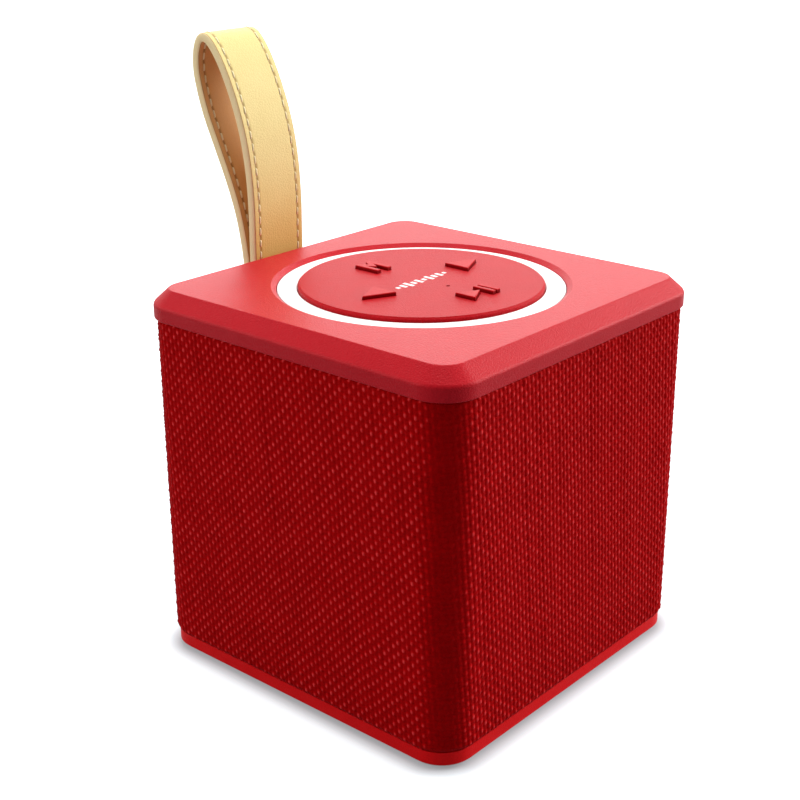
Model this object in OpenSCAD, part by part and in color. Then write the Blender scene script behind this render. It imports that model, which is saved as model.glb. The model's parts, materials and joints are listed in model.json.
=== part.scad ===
// Small cube loudspeaker: a cloth-wrapped body between a moulded cap and base,
// with a lit ring round a control pad on top and a leather strap at the back.
// X is width, -Y is the front, +Z is up, and Z = 0 is the surface it stands on.

/* [Body] */
// Width and depth over the cloth and the cap
body_w = 84; // [80:0.5:110]
// Height of the cap's flat top above the surface
body_h = 83.2; // [78:0.2:110]
// Corner radius of the cap, seen from above
cap_corner_r = 7.9; // [5:0.1:12]
// Width of the chamfer round the cap's top, seen from above
chamfer_in = 3.3; // [1:0.1:4]
// Height of that chamfer
chamfer_down = 3; // [1:0.1:4]
// Height of the cap's upright band below the chamfer
cap_band = 3.1; // [2:0.1:6]
// Thickness of the cap's top plate
cap_plate = 2.3; // [1.8:0.1:3]
// Depth of the cap's skirt inside the housing
skirt_depth = 5; // [3:0.1:6]
// Corner radius of the cloth, seen from above
cloth_corner_r = 8.5; // [6:0.1:12]
// Thickness of the stretched cloth
cloth_t = 1.1; // [0.6:0.1:1.6]
// Wall of the housing under the cloth
wall = 2.2; // [1.6:0.1:3.5]
// Thickness of the deck that closes the housing's top
deck_t = 2; // [1.6:0.1:3]
// Depth of the deck's face below the cap's lower edge
deck_drop = 9; // [8:0.1:12]

/* [Base] */
// Height of the base's upper face, where the cloth ends
base_top = 3.8; // [2.8:0.1:5]
// Setback of the base from the cloth
base_inset = 0.9; // [0.3:0.1:2]
// Bevel round the base's lower edge
base_bevel = 0.5; // [0.2:0.1:1.2]
// How far the rubber foot stands out below the base
foot_out = 0.6; // [0.3:0.1:1.2]
// Width of the foot's band
foot_w = 6; // [4:0.1:12]
// Thickness of the foot
foot_t = 2; // [1.2:0.1:2.2]
// Thickness of the foam gasket between base and housing
base_gasket_t = 0.5; // [0.3:0.1:1]

/* [Light ring and control pad] */
// Radius of the recess where it meets the cap's flat top
lip_r = 31.6; // [31.2:0.1:34]
// Radius of the visible ring
ring_r = 30.35; // [29.5:0.05:31]
// Depth of the ring's face below the cap's top
ring_drop = 0.75; // [0.3:0.05:1.5]
// Radius of the control pad
pad_r = 26; // [25.5:0.1:27]
// How far the control pad's face stands above the cap's top
pad_up = 0.2; // [-0.5:0.1:1]
// Thickness of the control pad's plate
pad_t = 1.6; // [1.2:0.1:2]
// Wall of the skirt that carries the control pad on its board
pad_skirt = 1.4; // [1:0.1:2]
// Radius of the pad's flange that carries the ring
pad_flange_r = 28.5; // [27.5:0.1:29]

/* [Keys] */
// Distance of the side keys from the centre
side_key_r = 15.1; // [14:0.1:17]
// Distance of the mode key behind the centre
mode_key_r = 13.6; // [12:0.1:16]
// Distance of the play key in front of the centre
play_key_r = 15.2; // [14:0.1:17]
// How far a key stands above the pad
key_up = 0.8; // [0.4:0.1:1.4]
// Travel of a key
key_travel = 0.4; // [0.2:0.05:0.6]
// Clearance round a key in the pad
key_gap = 0.15; // [0.08:0.01:0.25]
// Radius of the flange that holds a key under the pad
key_flange_r = 5.2; // [4.8:0.1:6]

/* [Strap] */
// Width of the leather strap
strap_w = 15.4; // [10:0.1:22]
// Thickness of the leather strap
strap_t = 2.1; // [1.4:0.1:2.6]
// Gap between the strap and the back of the body
strap_gap = 0.35; // [0.2:0.05:1]

/* [Driver] */
// Radius of the driver's flange
driver_r = 26.5; // [24:0.1:28]
// Radius of the driver's cone at its surround
cone_r = 18.5; // [16:0.1:20]
// Excursion of the cone each way
cone_travel = 1.2; // [0.5:0.1:1.5]

/* [Ports and electronics] */
// Width of the port panel
panel_w = 50; // [46:0.5:56]
// Height of the port panel
panel_h = 14; // [12:0.5:18]
// Travel of the power slider
slider_travel = 2; // [1.5:0.1:3]
// Thickness of the circuit boards
board_t = 1.6; // [1:0.1:2]
// Radius of the round control board
control_board_r = 33; // [32:0.1:34]
// Radius of the battery cell
cell_r = 9.2; // [7:0.1:9.5]
// Length of the battery cell
cell_l = 65.2; // [40:0.1:70]

/* [Hidden] */
$fn = 96;
fit = 0.15;      // sliding clearance between moulded parts
slip = 0.05;     // clearance between parts that sit against each other on curves
eps = 1;         // how far a cut runs past a face

// Plan sizes, from the outside in
half = body_w / 2;
house_half = half - cloth_t - slip;
house_r = cloth_corner_r - cloth_t - slip;
in_half = house_half - wall;
in_r = house_r - wall;
skirt_half = in_half - fit;
skirt_t = 1.6;
skirt_in = skirt_half - skirt_t;
base_half = half - base_inset;
base_r = cloth_corner_r - base_inset;

// Heights, from the top down
cap_h = chamfer_down + cap_band;
cap_bottom = body_h - cap_h;
plate_under = body_h - cap_plate;
ring_top = body_h - ring_drop;
ring_flange_t = 0.9;
ring_bottom = plate_under - ring_flange_t;
ring_flange_r = lip_r + 1;
ring_in = pad_r + 0.2;
pad_top = body_h + pad_up;
pad_under = pad_top - pad_t;
pad_flange_t = 1;
board_top = body_h - 6.4;
board_under = board_top - board_t;
deck_top = cap_bottom - deck_drop;
deck_under = deck_top - deck_t;
house_bottom = base_top + base_gasket_t;

// Keys and the switches under them
key_flange_t = 0.8;
key_seat = 0.05;
key_flange_top = pad_under - key_seat;
key_flange_under = key_flange_top - key_flange_t;
key_stem_r = 1.6;
switch_side = 6;
switch_h = 2.2;
plunger_r = 1.7;
plunger_top = key_flange_under - 1.05;
plunger_under = board_top + 1.2;
mode_at = [0, mode_key_r];
play_at = [0, -play_key_r];
previous_at = [-side_key_r, 0];
next_at = [side_key_r, 0];
KEY_CENTRES = [mode_at, play_at, previous_at, next_at];
arrow_l = 6.8;
arrow_h = 6.3;
mode_w = 4.5;
mode_h = 6.4;
mode_stroke = 1.15;
play_l = 4.8;
play_h = 5.2;
bar_w = 0.95;
bar_pitch = 1.45;
mic_at = [0.4, -6.9];
mic_hole_r = 0.45;

// Screws: shank radius, head radius, head height
M3 = [1.5, 2.7, 1.9];
M2 = [1, 1.9, 1.2];
thread_gap = 0.03;
shank_gap = 0.2;
cap_screw_at = [24, in_half - 4.6];
cap_boss_r = 3.2;
board_screw_at = 25.5;
board_boss_r = 2.4;
base_screw_at = in_half - 4.05;
base_boss_r = 4.4;
base_boss_top = 24;
foot_half = base_screw_at - 4;
foot_corner_r = 7;

// Strap: the two ends lie together in a slot, and the loop turns about its root
strap_stack = 2 * strap_t;
strap_rest = deck_top + 0.4;
pivot_z = strap_rest + strap_t;
pivot_y = half + strap_gap + strap_t;
clamp_y = [in_half - 5.45, in_half - 1.05];
clamp_screw_x = strap_w / 2 + 3.5;
clamp_x = clamp_screw_x + 3.3;
clamp_t = 1.8;
slot_fit = 0.3;
// Middle of the leather round the loop, from the front root to the back root,
// as [back, up] from the pivot, in strap thicknesses' own scale of millimetres
LOOP = [
    [-1.05, 0], [-1.05, 7], [-1.15, 15], [-1.2, 23.5], [-0.6, 32], [1, 40.2],
    [3.9, 48.3], [7.3, 54.8], [10.5, 58.6], [12.9, 58.9], [14.4, 56.3], [14.8, 52.4], [14.1, 48.2],
    [12.2, 42.2], [9, 35.2], [5.8, 28.2], [3.3, 21.5], [1.9, 15.5], [1.05, 9.5], [1.05, 6], [1.05, 0]
];
loop_steps = 5;
loop_gap_from = 9;       // first and last sample between which the legs are apart
loop_gap_to = 87;

// Driver, in its own frame: origin on the seat's face, z towards the front
seat_t = 2.5;
seat_r = 27.5;
driver_hole_r = 22;
driver_y = -(in_half - seat_t);
driver_z = (deck_under + base_top + 5.4) / 2;
driver_gasket_t = 0.8;
flange_t = 1.2;
flange_under = -driver_gasket_t - flange_t;
basket_rim_r = 22.5;
basket_wall = 1;
motor_z = -11;
top_plate_t = 2.5;
magnet_t = 6;
yoke_t = 2.5;
magnet_z = motor_z - top_plate_t;
yoke_z = magnet_z - magnet_t;
magnet_r = 16;
plate_r = 15;
pole_r = 5.9;
gap_r = 7.15;
coil_r = 6.15;
former_t = 0.25;
winding_r = 6.8;
surround_r = 22.3;
cone_rim = -driver_gasket_t - slip;
dust_cap_z = -6.6;
spider_z = -8.6;
spider_r = 14;
driver_screw_r = 24.6;
driver_screw_l = 5;
grille_r = 24.1;
grille_t = 1.2;
grille_hole_r = 1.3;
grille_pitch = 4;

// Port panel and the board behind it
main_board_top = base_top + 12.4;
main_board_under = main_board_top - board_t;
panel_z = main_board_top + 2;
panel_out = half - 0.1;
panel_t = 2.65;
panel_in = panel_out - panel_t;
panel_corner_r = 2;
pad_wall = 2.25;
window_w = 39;
window_h = 9;
panel_screw_x = panel_w / 2 - 2.7;
board_w = 50;
board_y = [10, in_half - 2.45];
board_screw_x = board_w / 2 - 3.5;
board_screw_y = [board_y[0] + 4, board_y[1] - 3.2];
slider_x = -14;
slider_knob = [3.6, 2.6];
slider_flange_l = 5.6;
slider_z = main_board_top + 1.8;
light_x = -7.5;
light_r = 0.9;
usb_x = 0;
aux_x = 13;
socket_face = panel_in - 0.35;
usb_size = [7.6, 5.6, 2.6];
aux_size = [6.2, 12, 5];
aux_hole_r = 1.8;
ribbon_w = 10;
ribbon_t = 0.3;
ribbon_y = 16;
ribbon_socket = [12, 3, 2];

// Battery, lying across the base in two saddles
cell_y = board_y[0] - 2.2 - cell_r;
pad_foam = 0.6;
cell_z = base_top + 1 + cell_r;
saddle_x = 20;
saddle_t = 4;
wire_r = 0.6;

// ---- shared shapes ----

module rounded(h, r) {
    difference() {
        square(2 * h, center = true);
        for (i = [0:3]) rotate(90 * i) translate([h - r, h - r]) difference() {
            square(r + eps);
            circle(r);
        }
    }
}

module rounded_box(w, h, r) {
    square([w - 2 * r, h], center = true);
    square([w, h - 2 * r], center = true);
    for (x = [-1, 1], y = [-1, 1]) translate([x * (w / 2 - r), y * (h / 2 - r)]) circle(r);
}

module prism(h, r, z0, z1) {
    translate([0, 0, z0]) linear_extrude(z1 - z0) rounded(h, r);
}

module tube(h_out, r_out, h_in, r_in, z0, z1) {
    translate([0, 0, z0]) linear_extrude(z1 - z0) difference() {
        rounded(h_out, r_out);
        rounded(h_in, r_in);
    }
}

// A rounded square block whose upper and lower edges are bevelled
module bevelled(h, r, z0, z1, top_in, top_down, low_in, low_up) {
    module side(w) polygon([
        [0, z0], [w - low_in, z0], [w, z0 + low_up], [w, z1 - top_down], [w - top_in, z1], [0, z1]
    ]);
    for (i = [0:3]) rotate(90 * i) {
        translate([0, h - r, 0]) rotate([90, 0, 0]) linear_extrude(2 * (h - r)) side(h);
        translate([h - r, h - r, 0]) rotate_extrude() side(r);
    }
}

module at_corners(x, y) {
    for (sx = [-1, 1], sy = [-1, 1]) translate([sx * x, sy * y, 0]) children();
}

// A pan-head screw standing head down on z = 0, its shank pointing up
module screw(size, length) {
    difference() {
        union() {
            cylinder(r = size[0], h = length);
            translate([0, 0, -size[2]]) cylinder(r = size[1], h = size[2]);
        }
        for (a = [0, 90]) rotate(a) translate([0, 0, -size[2]])
            cube([1.5 * size[1], 0.3 * size[1], 1.2 * size[2]], center = true);
    }
}

// A hole for a screw's thread, its shank or its head
module bore(r, z0, z1) {
    translate([0, 0, z0]) cylinder(r = r, h = z1 - z0);
}

// Wire through a list of points
module wire(points, r) {
    for (i = [0 : len(points) - 2]) {
        v = points[i + 1] - points[i];
        l = norm(v);
        translate(points[i]) rotate([0, acos(v[2] / l), atan2(v[1], v[0])]) cylinder(r = r, h = l, $fn = 24);
        if (i > 0) translate(points[i]) sphere(r, $fn = 24);
    }
}

// ---- base ----

module base() color([0.75, 0.05, 0.1]) difference() {
    union() {
        bevelled(base_half, base_r, foot_out, base_top, 0, 0, base_bevel, base_bevel);
        for (i = [0:3]) rotate(90 * i)
            translate([-in_half + 13, skirt_half - 1.8, base_top - eps]) cube([2 * in_half - 26, 1.8, 4 + eps]);
        for (x = [-1, 1], y = board_screw_y) translate([x * board_screw_x, y, 0])
            bore(2.6, base_top - eps, main_board_under);
        for (x = [-1, 1]) translate([x * saddle_x - saddle_t / 2, cell_y - cell_r, base_top - eps])
            cube([saddle_t, 2 * cell_r, 6 + eps]);
    }
    for (x = [-1, 1]) translate([x * saddle_x - saddle_t / 2 - eps, cell_y, cell_z]) rotate([0, 90, 0])
        cylinder(r = cell_r + pad_foam, h = saddle_t + 2 * eps);
    for (x = [-1, 1], y = board_screw_y) translate([x * board_screw_x, y, 0])
        bore(M2[0] + thread_gap, main_board_under - 5, main_board_under + eps);
    at_corners(base_screw_at, base_screw_at) {
        bore(M3[0] + shank_gap, foot_out - eps, base_top + eps);
        bore(M3[1] + shank_gap, foot_out - eps, foot_out + 1.3);
    }
    foot_band(slip, foot_out - eps, foot_t);
}

// The square band of the foot, grown by g
module foot_band(g, z0, z1) {
    tube(foot_half + g, foot_corner_r + g, foot_half - foot_w - g, max(foot_corner_r - foot_w, 1), z0, z1);
}

module rubber_foot() color([0.12, 0.12, 0.13]) foot_band(0, 0, foot_t);

module base_screws() color([0.7, 0.7, 0.72])
    at_corners(base_screw_at, base_screw_at) translate([0, 0, foot_out + 1.3]) screw([M3[0], M3[1], 1.3], 10);

module base_gasket() color([0.1, 0.1, 0.1])
    tube(house_half - 0.3, house_r - 0.3, in_half + 0.1, in_r + 0.1, base_top, house_bottom);

// ---- housing and cloth ----

module housing() color([0.15, 0.15, 0.16]) difference() {
    union() {
        tube(house_half, house_r, in_half, in_r, house_bottom, cap_bottom);
        prism(in_half + eps, in_r + eps, deck_under, deck_top);
        at_corners(base_screw_at, base_screw_at) bore(base_boss_r, house_bottom, base_boss_top);
        driver_frame() cylinder(r = seat_r, h = seat_t + wall / 2);
        translate([-(panel_w / 2 + 2), in_half - pad_wall, panel_z - panel_h / 2 - 1.5])
            cube([panel_w + 4, pad_wall + wall / 2, panel_h + 3]);
        translate([-strap_w / 2 - 1, clamp_y[0] - 1.5, deck_top - eps])
            cube([strap_w + 2, in_half + wall / 2 - clamp_y[0] + 1.5, strap_rest - deck_top + eps]);
        for (x = [-1, 1]) translate([x * clamp_screw_x, mid(clamp_y), 0])
            bore(2.6, deck_top - eps, strap_rest + strap_stack);
    }
    at_corners(base_screw_at, base_screw_at) bore(M3[0] + thread_gap, base_top - eps, base_top + 11);
    at_corners(cap_screw_at[0], cap_screw_at[1]) bore(M3[0] + shank_gap, deck_under - eps, deck_top + eps);
    driver_frame() {
        translate([0, 0, -eps]) cylinder(r = driver_hole_r, h = seat_t + wall + 2 * eps);
        translate([0, 0, seat_t + wall - grille_t]) cylinder(r = grille_r + slip, h = grille_t + eps);
        for (a = [45:90:315]) rotate(a) translate([driver_screw_r, 0, -eps])
            cylinder(r = M2[0] + 0.3 + thread_gap, h = eps + driver_screw_l + flange_under + 0.2);
    }
    panel_frame() {
        translate([0, 0, panel_in - half - eps - 2 * pad_wall]) linear_extrude(2 * pad_wall + 2 * eps)
            rounded_box(window_w, window_h, 1);
        translate([0, 0, panel_in - half]) linear_extrude(panel_t + eps)
            rounded_box(panel_w + 2 * fit, panel_h + 2 * fit, panel_corner_r + fit);
        for (x = [-1, 1]) translate([x * panel_screw_x, 0, panel_in - half - 4])
            cylinder(r = M2[0] + thread_gap, h = 4 + eps);
    }
    strap_slot(slot_fit);
    for (x = [-1, 1]) translate([x * clamp_screw_x, mid(clamp_y), 0])
        bore(M2[0] + thread_gap, deck_top - 1, strap_rest + strap_stack + eps);
    translate([-ribbon_w / 2 - 1, ribbon_y - 1, deck_under - eps]) cube([ribbon_w + 2, 2, deck_t + 2 * eps]);
}

function mid(pair) = (pair[0] + pair[1]) / 2;

// The driver's frame: origin on the seat's face, z towards the front
module driver_frame() {
    translate([0, driver_y, driver_z]) rotate([90, 0, 0]) children();
}

// The port panel's frame: origin on the body's back, z outwards
module panel_frame() {
    translate([0, half, panel_z]) rotate([90, 0, 180]) children();
}

// The slot that the strap's ends pass through
module strap_slot(gap) {
    translate([-strap_w / 2 - gap, in_half - eps, strap_rest - gap])
        cube([strap_w + 2 * gap, wall + cloth_t + 2 * eps, strap_stack + 2 * gap]);
}

module cloth_sleeve() color([0.65, 0.05, 0.1]) difference() {
    bevelled(half, cloth_corner_r, base_top + 0.1, cap_bottom - 0.05, 0, 0, cloth_t - 0.4, 1);
    prism(house_half + slip, house_r + slip, base_top - eps, cap_bottom + eps);
    panel_frame() translate([0, 0, -cloth_t - eps]) linear_extrude(cloth_t + 2 * eps)
        rounded_box(panel_w + 2 * fit, panel_h + 2 * fit, panel_corner_r + fit);
    strap_slot(slot_fit);
}

// ---- cap, light ring and control pad ----

module top_cap() color([0.85, 0.12, 0.18]) difference() {
    union() {
        difference() {
            bevelled(half, cap_corner_r, cap_bottom, body_h, chamfer_in, chamfer_down, 0, 0);
            prism(skirt_in, in_r - skirt_t, cap_bottom - eps, plate_under);
        }
        tube(skirt_half, in_r - fit, skirt_in, in_r - skirt_t, cap_bottom - skirt_depth, cap_bottom + eps);
        at_corners(cap_screw_at[0], cap_screw_at[1]) bore(cap_boss_r, deck_top, plate_under + eps);
        at_corners(board_screw_at, board_screw_at) bore(board_boss_r, board_top, plate_under + eps);
    }
    bore(ring_r + fit, plate_under - eps, body_h + eps);
    translate([0, 0, ring_top]) cylinder(r1 = ring_r + fit, r2 = lip_r, h = ring_drop);
    at_corners(cap_screw_at[0], cap_screw_at[1]) bore(M3[0] + thread_gap, deck_top - eps, deck_top + 9);
    at_corners(board_screw_at, board_screw_at) bore(M2[0] + thread_gap, board_top - eps, board_top + 3.6);
    translate([-clamp_x - 1, clamp_y[0] - 2, deck_top]) cube([2 * clamp_x + 2, 10, cap_bottom - deck_top]);
}

module cap_screws() color([0.7, 0.7, 0.72])
    at_corners(cap_screw_at[0], cap_screw_at[1]) translate([0, 0, deck_under]) screw(M3, deck_t + 8);

module light_ring() color([0.97, 0.97, 0.97]) rotate_extrude() polygon([
    [ring_in, ring_bottom], [ring_flange_r, ring_bottom], [ring_flange_r, plate_under],
    [ring_r, plate_under], [ring_r, ring_top], [ring_in, ring_top]
]);

// Outlines of the keys, each grown by g all round

module arrow_shape(g) {
    tip = atan2(arrow_h / 2, arrow_l);
    polygon([
        [arrow_l / 2 + g / sin(tip), 0],
        [-arrow_l / 2 - g, arrow_h / 2 + g * (1 + sin(tip)) / cos(tip)],
        [-arrow_l / 2 - g, -arrow_h / 2 - g * (1 + sin(tip)) / cos(tip)]
    ]);
}

module stroke(a, b, w, g) {
    v = b - a;
    translate(a) rotate(atan2(v[1], v[0])) translate([-g, -w / 2 - g]) square([norm(v) + 2 * g, w + 2 * g]);
}

module mode_shape(g) {
    x = (mode_w - mode_stroke) / 2;
    y = mode_h / 2;
    stroke([-x, -y], [-x, y], mode_stroke, g);
    stroke([x, -y], [x, y], mode_stroke, g);
    stroke([-x, y - 0.6], [0, -0.4], mode_stroke, g);
    stroke([x, y - 0.6], [0, -0.4], mode_stroke, g);
}

module play_shape(g) {
    tip = atan2(play_h / 2, play_l);
    translate([-1.9, 0]) polygon([
        [play_l / 2 + g / sin(tip), 0],
        [-play_l / 2 - g, play_h / 2 + g * (1 + sin(tip)) / cos(tip)],
        [-play_l / 2 - g, -play_h / 2 - g * (1 + sin(tip)) / cos(tip)]
    ]);
    for (i = [0, 1]) translate([1.95 + i * bar_pitch, 0])
        square([bar_w + 2 * g, play_h + 2 * g], center = true);
}

module keypad_disc() color([0.9, 0.2, 0.27]) difference() {
    rotate_extrude() polygon([
        [0, pad_under], [pad_r - pad_skirt, pad_under], [pad_r - pad_skirt, board_top], [pad_r, board_top],
        [pad_r, ring_bottom - pad_flange_t], [pad_flange_r, ring_bottom - pad_flange_t],
        [pad_flange_r, ring_bottom], [pad_r, ring_bottom], [pad_r, pad_top - 0.4], [pad_r - 0.4, pad_top], [0, pad_top]
    ]);
    translate([0, 0, pad_under - eps]) linear_extrude(pad_t + 2 * eps) {
        translate(mode_at) mode_shape(key_gap);
        translate(play_at) play_shape(key_gap);
        translate(next_at) arrow_shape(key_gap);
        translate(previous_at) rotate(180) arrow_shape(key_gap);
        translate(mic_at) circle(mic_hole_r);
    }
}

// A key: its raised outline, the flange that holds it under the pad, and its stem
module key(at) color([0.9, 0.2, 0.27]) translate([at[0], at[1], 0]) {
    translate([0, 0, key_flange_top - eps / 2]) linear_extrude(pad_top + key_up - key_flange_top + eps / 2) children();
    bore(key_flange_r, key_flange_under, key_flange_top);
    bore(key_stem_r, plunger_top, key_flange_top - key_flange_t / 2);
}

module mode_key() key(mode_at) mode_shape(0);

module play_key() key(play_at) play_shape(0);

module next_key() key(next_at) arrow_shape(0);

module previous_key() key(previous_at) rotate(180) arrow_shape(0);

module switch_plunger(at) color([0.1, 0.1, 0.1])
    translate([at[0], at[1], 0]) bore(plunger_r, plunger_under, plunger_top);

module mode_switch_plunger() switch_plunger(mode_at);

module play_switch_plunger() switch_plunger(play_at);

module next_switch_plunger() switch_plunger(next_at);

module previous_switch_plunger() switch_plunger(previous_at);

module key_switches() color([0.75, 0.75, 0.77])
    for (at = KEY_CENTRES) translate([at[0], at[1], 0]) difference() {
        translate([-switch_side / 2, -switch_side / 2, board_top]) cube([switch_side, switch_side, switch_h]);
        bore(plunger_r + 0.1, plunger_under - key_travel - 0.1, board_top + switch_h + eps);
    }

module control_board() color([0.1, 0.35, 0.2]) difference() {
    translate([0, 0, board_under]) linear_extrude(board_t) {
        circle(control_board_r);
        rounded(board_screw_at + 2.5, 2);
    }
    at_corners(board_screw_at, board_screw_at) bore(M2[0] + shank_gap, board_under - eps, board_top + eps);
}

module control_board_screws() color([0.7, 0.7, 0.72])
    at_corners(board_screw_at, board_screw_at) translate([0, 0, board_under]) screw(M2, board_t + 3.2);

module ring_leds() color([0.95, 0.95, 0.85])
    for (a = [0:30:330]) rotate(a + 15) translate([mid([pad_flange_r, ring_flange_r]) - 0.6, -1, board_top])
        cube([1.2, 2, 0.8]);

module microphone() color([0.8, 0.8, 0.78])
    translate([mic_at[0] - 1.9, mic_at[1] - 1.4, board_top]) cube([3.8, 2.8, 1.1]);

module microphone_boot() color([0.12, 0.12, 0.12])
    translate([mic_at[0], mic_at[1], 0]) difference() {
        bore(1.3, board_top + 1.1, pad_under);
        bore(mic_hole_r, board_top, pad_under + eps);
    }

module ribbon_sockets() color([0.9, 0.9, 0.85]) {
    translate([-ribbon_socket[0] / 2, ribbon_y - 6 - ribbon_socket[1], board_under - ribbon_socket[2]])
        cube(ribbon_socket);
    translate([-ribbon_socket[0] / 2, ribbon_y - ribbon_socket[1] / 2, main_board_top])
        cube([ribbon_socket[0], ribbon_socket[1], 4]);
}

// Flat cable from the control board's socket, round a bend and down to the main board
module ribbon_cable() color([0.85, 0.87, 0.9]) translate([-ribbon_w / 2, 0, 0]) {
    top = board_under - ribbon_socket[2] / 2;
    bend = 4;
    rotate([90, 0, 90]) linear_extrude(ribbon_w) {
        translate([ribbon_y - 6, top - ribbon_t / 2]) square([6 - bend, ribbon_t]);
        translate([ribbon_y - ribbon_t / 2, main_board_top + 4]) square([ribbon_t, top - bend - main_board_top - 4]);
        translate([ribbon_y - bend, top - bend]) intersection() {
            difference() {
                circle(bend + ribbon_t / 2);
                circle(bend - ribbon_t / 2);
            }
            square(2 * bend);
        }
    }
}

// ---- strap ----

function curve(p, i, t) = let (
    a = p[max(i - 1, 0)],
    b = p[i],
    c = p[i + 1],
    d = p[min(i + 2, len(p) - 1)]
) 0.5 * (2 * b + (c - a) * t + (2 * a - 5 * b + 4 * c - d) * t * t + (3 * b - a - 3 * c + d) * t * t * t);

function loop_middle() = [
    for (i = [0 : len(LOOP) - 2], k = [0 : loop_steps - 1]) curve(LOOP, i, k / loop_steps),
    LOOP[len(LOOP) - 1]
];

// The loop's line moved sideways by d, outwards from the loop when d is positive
function loop_side(p, d, from, to) = [
    for (i = [from : to]) let (
        v = p[min(i + 1, len(p) - 1)] - p[max(i - 1, 0)]
    ) p[i] + d * [-v[1], v[0]] / norm(v)
];

module strap_loop() color([0.85, 0.65, 0.4]) translate([0, pivot_y, pivot_z]) {
    middle = loop_middle();
    last = len(middle) - 1;
    rotate([90, 0, 90]) translate([0, 0, -strap_w / 2]) linear_extrude(strap_w) difference() {
        polygon(concat(
            loop_side(middle, strap_t / 2, 0, last),
            [for (a = [-15:-15:-165]) strap_t * [cos(a), sin(a)]]
        ));
        polygon(loop_side(middle, -strap_t / 2, loop_gap_from, loop_gap_to));
    }
}

module strap_ends() color([0.5, 0.32, 0.2])
    for (i = [0, 1]) translate([-strap_w / 2, clamp_y[0] - 1, strap_rest + i * strap_t])
        cube([strap_w, pivot_y - strap_t - 0.1 - clamp_y[0] + 1, strap_t]);

module strap_clamp() color([0.6, 0.6, 0.62]) difference() {
    translate([-clamp_x, clamp_y[0], strap_rest + strap_stack])
        cube([2 * clamp_x, clamp_y[1] - clamp_y[0], clamp_t]);
    for (x = [-1, 1]) translate([x * clamp_screw_x, mid(clamp_y), 0])
        bore(M2[0] + shank_gap, strap_rest, strap_rest + strap_stack + clamp_t + eps);
}

module strap_clamp_screws() color([0.7, 0.7, 0.72])
    for (x = [-1, 1]) translate([x * clamp_screw_x, mid(clamp_y), strap_rest + strap_stack + clamp_t])
        rotate([180, 0, 0]) screw(M2, clamp_t + 4);

// ---- driver ----

module ring_solid(points) rotate_extrude() polygon(points);

module driver_grille() color([0.1, 0.1, 0.1]) driver_frame()
    translate([0, 0, seat_t + wall - grille_t]) difference() {
        cylinder(r = grille_r, h = grille_t);
        for (k = [0:5], i = [0 : max(6 * k - 1, 0)])
            rotate(k == 0 ? 0 : 60 * i / k) translate([grille_pitch * k, 0, -eps])
                cylinder(r = grille_hole_r, h = grille_t + 2 * eps, $fn = 16);
    }

module flange_holes(r) {
    for (a = [45:90:315]) rotate(a) translate([driver_screw_r, 0, -10]) cylinder(r = r, h = 20);
}

module driver_gasket() color([0.15, 0.15, 0.15]) driver_frame() difference() {
    translate([0, 0, -driver_gasket_t]) cylinder(r = driver_r, h = driver_gasket_t);
    translate([0, 0, -5]) cylinder(r = surround_r + 0.5, h = 10);
    flange_holes(M2[0] + 0.3 + shank_gap);
}

module driver_basket() color([0.35, 0.35, 0.37]) driver_frame() difference() {
    ring_solid([
        [surround_r - 0.8, -driver_gasket_t], [driver_r, -driver_gasket_t], [driver_r, flange_under],
        [basket_rim_r, flange_under], [basket_rim_r, -4], [plate_r, motor_z], [gap_r + 1, motor_z],
        [gap_r + 1, motor_z + basket_wall], [plate_r - basket_wall, motor_z + basket_wall],
        [basket_rim_r - basket_wall, -4], [basket_rim_r - basket_wall, flange_under]
    ]);
    flange_holes(M2[0] + 0.3 + shank_gap);
    for (a = [0:90:270]) rotate(a) translate([basket_rim_r - 3, 0, -6.5]) cube([12, 12, 4], center = true);
}

module driver_top_plate() color([0.6, 0.6, 0.62]) driver_frame() difference() {
    translate([0, 0, magnet_z]) cylinder(r = plate_r, h = top_plate_t);
    translate([0, 0, magnet_z - eps]) cylinder(r = gap_r, h = top_plate_t + 2 * eps);
}

module driver_magnet() color([0.2, 0.2, 0.22]) driver_frame() difference() {
    translate([0, 0, yoke_z]) cylinder(r = magnet_r, h = magnet_t);
    translate([0, 0, yoke_z - eps]) cylinder(r = gap_r + 1.4, h = magnet_t + 2 * eps);
}

module driver_yoke() color([0.6, 0.6, 0.62]) driver_frame() {
    translate([0, 0, yoke_z - yoke_t]) cylinder(r = plate_r, h = yoke_t);
    translate([0, 0, yoke_z - yoke_t / 2]) cylinder(r = pole_r, h = motor_z - yoke_z + yoke_t / 2);
}

module voice_coil() color([0.7, 0.4, 0.2]) driver_frame() ring_solid([
    [coil_r, -15.2], [coil_r + former_t, -15.2], [coil_r + former_t, -14.4], [winding_r, -14.4],
    [winding_r, -10.2], [coil_r + former_t, -10.2], [coil_r + former_t, -7], [coil_r, -7]
]);

module driver_cone() color([0.25, 0.25, 0.27]) driver_frame() ring_solid([
    [coil_r + former_t + slip, -8], [coil_r + former_t + 0.7, -8], [cone_r, cone_rim - 0.6],
    [cone_r, cone_rim], [coil_r + former_t + slip, -7.2]
]);

module dust_cap() color([0.2, 0.2, 0.22]) driver_frame() intersection() {
    translate([0, 0, dust_cap_z - 8.4]) difference() {
        sphere(10.9);
        sphere(10.4);
    }
    translate([0, 0, dust_cap_z]) cylinder(r = 7.2, h = 6);
}

module driver_surround() color([0.15, 0.15, 0.16]) driver_frame() rotate_extrude() {
    foot_in = surround_r - 0.8;
    roll = (foot_in - cone_r) / 2;
    translate([cone_r + roll, -driver_gasket_t]) intersection() {
        difference() {
            circle(roll);
            circle(roll - 0.4);
        }
        translate([-roll, 0]) square([2 * roll, roll]);
    }
    for (x = [cone_r - 0.8, foot_in - 0.2]) translate([x, -driver_gasket_t]) square([1, 0.4]);
}

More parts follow.
